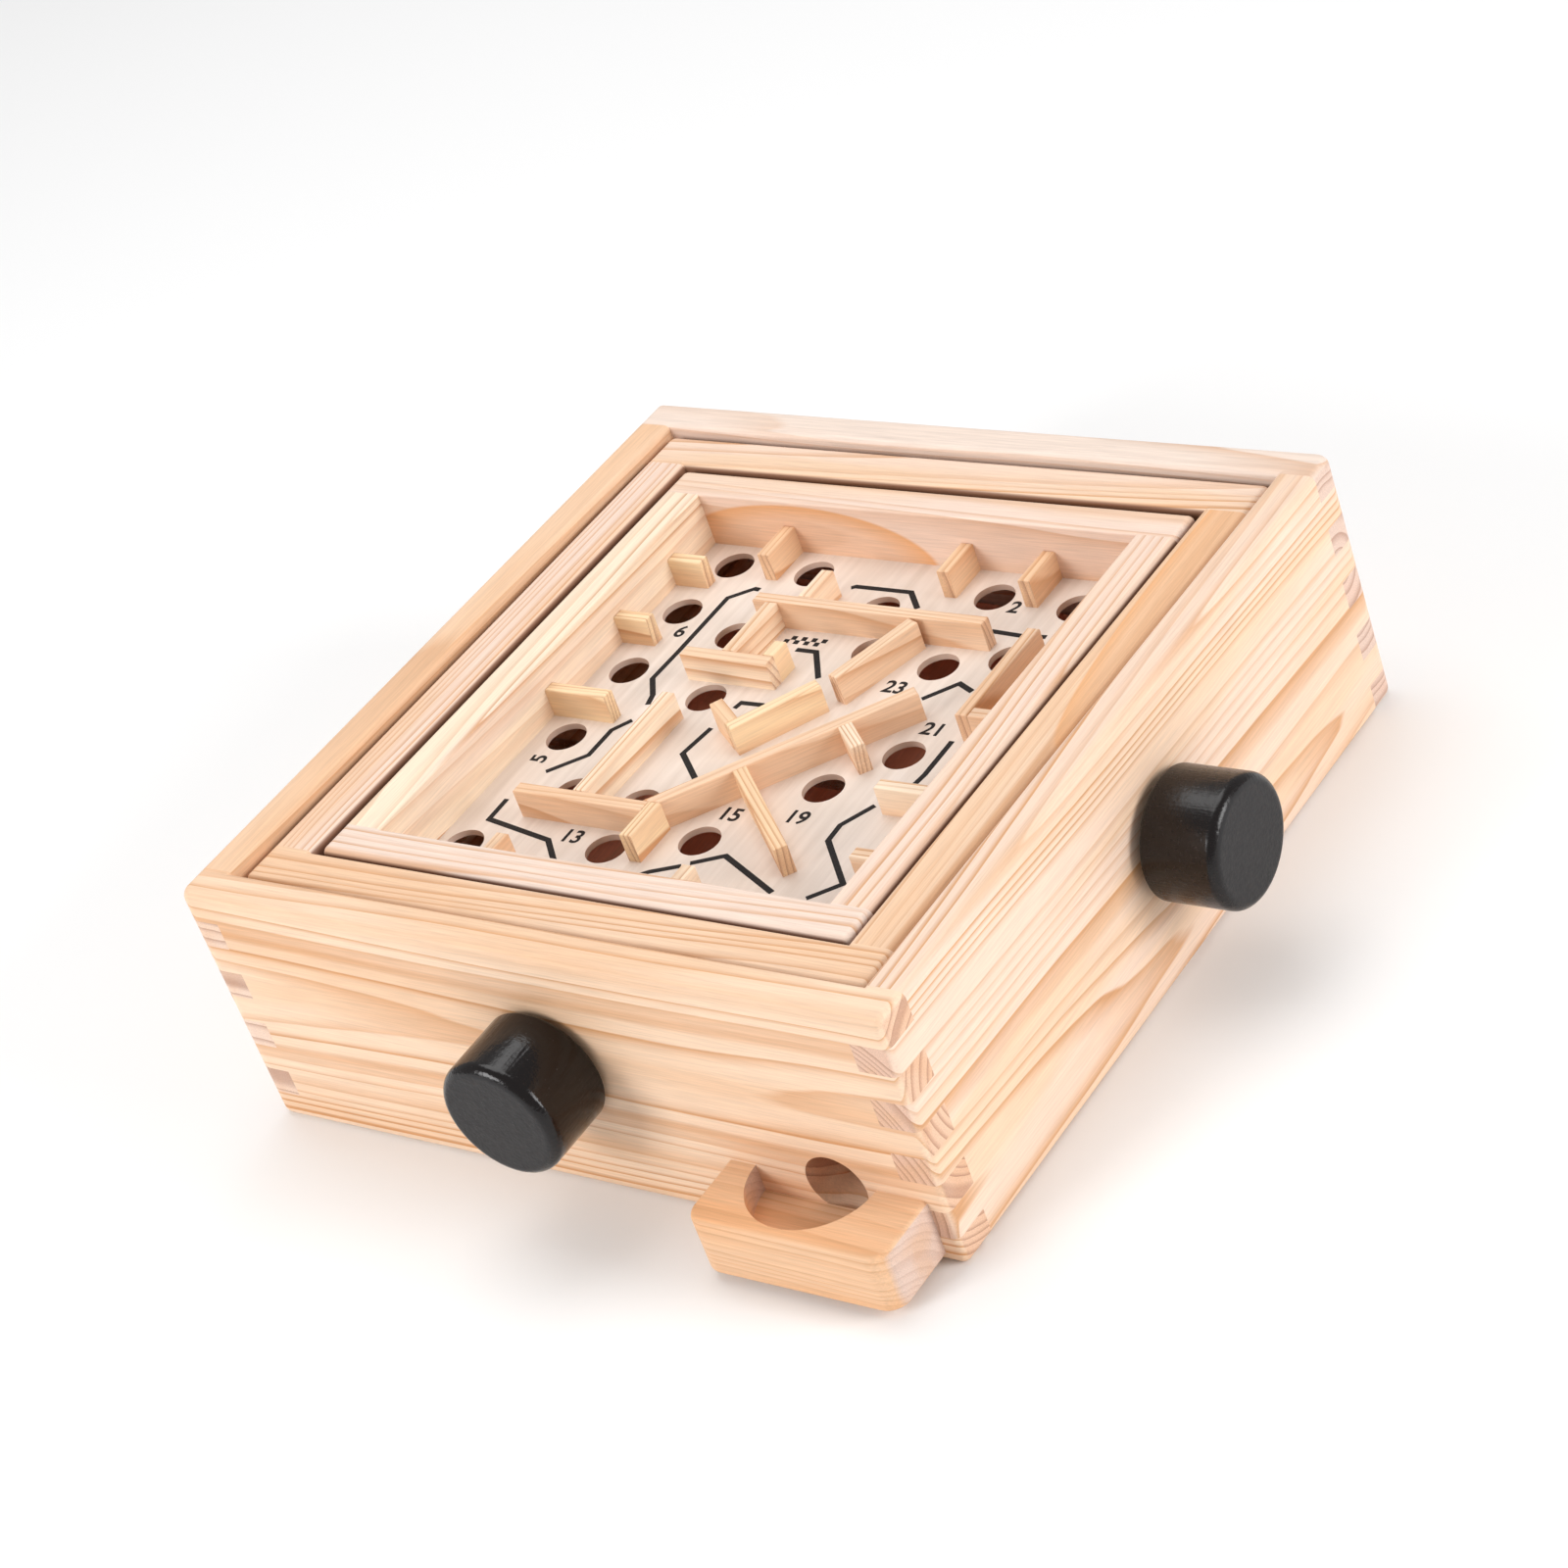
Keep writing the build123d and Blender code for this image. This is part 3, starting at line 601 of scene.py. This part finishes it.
# ---------------------------------------------------------------- strings
thread_r = 0.4 * mm
wire_r = 0.5 * mm
wire_clearance = 0.05 * mm
turn_r = thread_r + wire_r + wire_clearance
strand_pitch = 2.2 * mm
strand_step = 0.35 * mm
thread_sides = 10
knot_r = 0.85 * mm
knot_sides = 16
knot_levels = 10
hook_half_width = 2.5 * mm
drop_to_meeting = 1.5 * mm
winding_turns = 3
steps_per_turn = 24


def arc(centre, start, end, turn, steps):
    """Points along a circular arc about a centre, from one radius vector towards another."""
    return [Vector(centre) + Vector(start) * math.cos(turn * i / steps)
            + Vector(end) * math.sin(turn * i / steps) for i in range(steps + 1)]


def resample(points, step):
    """Evenly spaced points along a polyline."""
    spaced = [points[0]]
    for a, b in zip(points, points[1:]):
        count = max(1, round((b - a).length / step))
        spaced += [a.lerp(b, (i + 1) / count) for i in range(count)]
    return spaced


def twine(builder, points, closed=False):
    """Two-strand twisted thread along a line of points."""
    points = resample(points, strand_step)
    if closed:
        points.pop()
    rings, travelled, normal = [], 0.0, None
    for i, point in enumerate(points):
        before = points[i - 1] if i or closed else point
        after = points[(i + 1) % len(points)] if i + 1 < len(points) or closed else point
        run = (after - before).normalized()
        if normal is None:
            normal = run.orthogonal().normalized()
        normal = (normal - run * normal.dot(run)).normalized()
        side = run.cross(normal)
        ring = []
        for k in range(thread_sides):
            angle = 2 * math.pi * k / thread_sides
            groove = abs(math.cos(angle - math.pi * travelled / strand_pitch))
            r = thread_r * (0.72 + 0.28 * groove)
            ring.append(builder.verts.new(point + r * (math.cos(angle) * normal
                                                       + math.sin(angle) * side)))
        rings.append(ring)
        travelled += (points[(i + 1) % len(points)] - point).length
    for i in range(len(rings) if closed else len(rings) - 1):
        lower, upper = rings[i], rings[(i + 1) % len(rings)]
        for k in range(thread_sides):
            following = (k + 1) % thread_sides
            builder.faces.new((lower[k], lower[following], upper[following], upper[k]))
    if not closed:
        builder.faces.new(rings[0][::-1])
        builder.faces.new(rings[-1])


def knot(builder, centre):
    """A small pulled-tight knot: a ball of thread with slanting grooves."""
    def place(turn, slope):
        height = math.cos(slope)
        groove = 0.86 + 0.14 * abs(math.cos(1.5 * turn + 2.0 * height))
        ray = Vector((math.sin(slope) * math.cos(turn), math.sin(slope) * math.sin(turn), height))
        return builder.verts.new(Vector(centre) + ray * knot_r * groove)

    top, bottom = place(0.0, 0.0), place(0.0, math.pi)
    rings = [[place(2 * math.pi * k / knot_sides, math.pi * level / knot_levels)
              for k in range(knot_sides)] for level in range(1, knot_levels)]
    for k in range(knot_sides):
        following = (k + 1) % knot_sides
        builder.faces.new((top, rings[0][k], rings[0][following]))
        for upper, lower in zip(rings, rings[1:]):
            builder.faces.new((upper[k], lower[k], lower[following], upper[following]))
        builder.faces.new((rings[-1][k], bottom, rings[-1][following]))


def tied_end(builder, hook, loop_axis):
    """The loop round a hook's wire and the knot below it; returns where the thread starts."""
    sideways = Vector(loop_axis).cross(Vector((0.0, 0.0, 1.0))) * turn_r
    loop = arc(hook, sideways, (0.0, 0.0, turn_r), 2 * math.pi, steps_per_turn)
    twine(builder, loop, closed=True)
    start = Vector(hook) - Vector((0.0, 0.0, turn_r))
    knot(builder, start - Vector((0.0, 0.0, knot_r / 2)))
    return start


def smooth(piece):
    """Smooth shading on every face."""
    for face in piece.data.polygons:
        face.use_smooth = True
    return piece


def loose_piece(name, builder):
    """A thread piece that doesn't ride yet."""
    data = bpy.data.meshes.new(name)
    builder.to_mesh(data)
    builder.free()
    data.materials.append(thread)
    piece = bpy.data.objects.new(name, data)
    bpy.context.collection.objects.link(piece)
    return smooth(piece)


def wires(node, along):
    """The lowest wire points of a pair of hooks, at the two ends of one axis."""
    low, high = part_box(node)
    middle = [(a + b) / 2 for a, b in zip(low, high)]
    reach = (high[along] - low[along]) / 2 - hook_half_width
    ends = []
    for sign in (-1, 1):
        place = list(middle)
        place[along] += sign * reach
        place[2] = low[2] + wire_r
        ends.append(Vector(place))
    return ends


def turned_run(builder, ends, run_z, top_z, lean=0.0):
    """Down one side, round the guide's wire, level along, and up the other side.

    The tops lean towards the back by a given length.
    """
    first, last = ends
    inward = (last - first).normalized()
    drop = Vector((0.0, 0.0, -1.0))
    low_a = Vector((first.x, first.y, run_z + turn_r)) + inward * turn_r
    low_b = Vector((last.x, last.y, run_z + turn_r)) - inward * turn_r
    route = [Vector((first.x, first.y + lean, top_z))]
    route += arc(low_a, -inward * turn_r, drop * turn_r, math.pi / 2, 8)
    route += arc(low_b, drop * turn_r, inward * turn_r, math.pi / 2, 8)
    route.append(Vector((last.x, last.y + lean, top_z)))
    twine(builder, route)


ring_hooks = wires("ring_string_hooks", 1)
ring_run_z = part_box("ring_string")[0][2] + thread_r
ring_thread = bmesh.new()
ring_starts = [tied_end(ring_thread, hook, (0.0, 1.0, 0.0)) for hook in ring_hooks]
turned_run(ring_thread, ring_hooks, ring_run_z, ring_starts[0].z)
ring_string = loose_piece("ring_string_twine", ring_thread)
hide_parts("ring_string")
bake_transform(ring_string)

# The tray's string crosses two joints, so it is two pieces that meet just above the guides. It
# comes up beside the hook's wire and ends over it, so that nothing hangs below the hook.
tray_hooks = wires("tray_string_hooks", 0)
tray_run_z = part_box("tray_string")[0][2] + thread_r
guide_top_z = tray_run_z + turn_r + wire_r
meeting_z = guide_top_z + drop_to_meeting
hook_z = tray_hooks[0].z
guide_z = tray_run_z + turn_r
meeting_lean = turn_r * (meeting_z - guide_z) / (hook_z - guide_z)
over_wire = math.radians(120.0)
run_thread = bmesh.new()
turned_run(run_thread, tray_hooks, tray_run_z, meeting_z, meeting_lean)
tray_run = loose_piece("tray_string_run", run_thread)
drop_thread = bmesh.new()
for hook in tray_hooks:
    bottom = Vector((hook.x, hook.y + meeting_lean, meeting_z))
    twine(drop_thread, [bottom] + arc(hook, (0.0, turn_r, 0.0), (0.0, 0.0, turn_r), over_wire, 10))
    knot(drop_thread, hook + (wire_r + knot_r) * Vector((0.0, math.cos(over_wire),
                                                         math.sin(over_wire))))
tray_drops = loose_piece("tray_string_drops", drop_thread)
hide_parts("tray_string")
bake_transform(tray_run)
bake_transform(tray_drops)

for winding, along, body in (("tray_string_winding", 1, "front_knob"),
                             ("ring_string_winding", 0, "side_knob")):
    low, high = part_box(winding)
    axle_centre = Vector([(a + b) / 2 for a, b in zip(low, high)])
    axle_run = Vector([float(i == along) for i in range(3)])
    length = high[along] - low[along] - 2 * thread_r
    coil_r = (high[2] - low[2]) / 2 - thread_r
    coil_steps = steps_per_turn * winding_turns
    up = Vector((0.0, 0.0, 1.0))
    side = axle_run.cross(up)
    coil = [axle_centre + axle_run * length * (t - 0.5)
            + coil_r * (math.cos(2 * math.pi * winding_turns * t) * up
                        + math.sin(2 * math.pi * winding_turns * t) * side)
            for t in [i / coil_steps for i in range(coil_steps + 1)]]
    coil_thread = bmesh.new()
    twine(coil_thread, coil)
    coil_piece = loose_piece(winding + "_twine", coil_thread)
    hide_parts(winding)
    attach(coil_piece, body)


# ---------------------------------------------------------------- floor of the studio
floor_half_width = 6.0
floor_gap = 0.2 * mm
ground = bpy.data.meshes.new("studio_floor")
sheet = bmesh.new()
bmesh.ops.create_grid(sheet, x_segments=1, y_segments=1, size=floor_half_width)
sheet.to_mesh(ground)
sheet.free()
studio_floor = bpy.data.objects.new("studio_floor", ground)
studio_floor.location = (0.0, 0.0, cad_box[0][2] - floor_gap)
bpy.context.collection.objects.link(studio_floor)
backdrop = Shader("studio_white")
backdrop.surface.inputs["Base Color"].default_value = (0.93, 0.93, 0.93, 1.0)
backdrop.surface.inputs["Roughness"].default_value = 0.9
ground.materials.append(backdrop.material)
